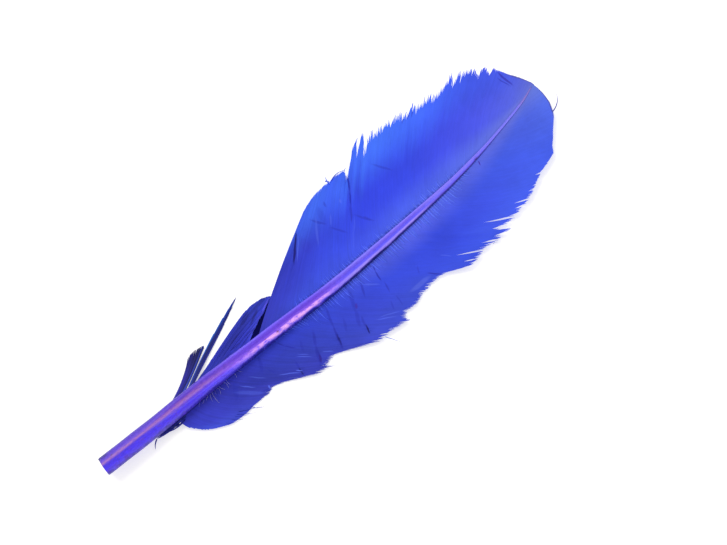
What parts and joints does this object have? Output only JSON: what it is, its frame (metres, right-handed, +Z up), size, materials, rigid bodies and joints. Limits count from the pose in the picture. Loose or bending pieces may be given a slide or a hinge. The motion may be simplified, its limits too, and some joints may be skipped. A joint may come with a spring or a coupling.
{
  "type": "turkey feather",
  "caption": "Dyed blue turkey wing feather, lying with its under side up: a bare cut quill, a grooved violet shaft, and two broad vanes of barbs in locks that split at the edges.",
  "frame": {"origin": "on the surface that the feather lies on, in the middle of the flat stretch of the shaft's back", "axes": "+X along the feather from the cut quill to the tip, +Y to the left vane as seen from above with the tip ahead, +Z up, out of the feather's under side"},
  "size_m": [0.293, 0.0926, 0.0126],
  "materials": {
    "vane_keratin": "dyed barbs, soft satin, faintly ribbed",
    "shaft_keratin": "dyed horn-like keratin, smooth and semi-gloss"
  },
  "bodies": {
    "root": {"feather": "vane_keratin"}
  },
  "joints": []
}
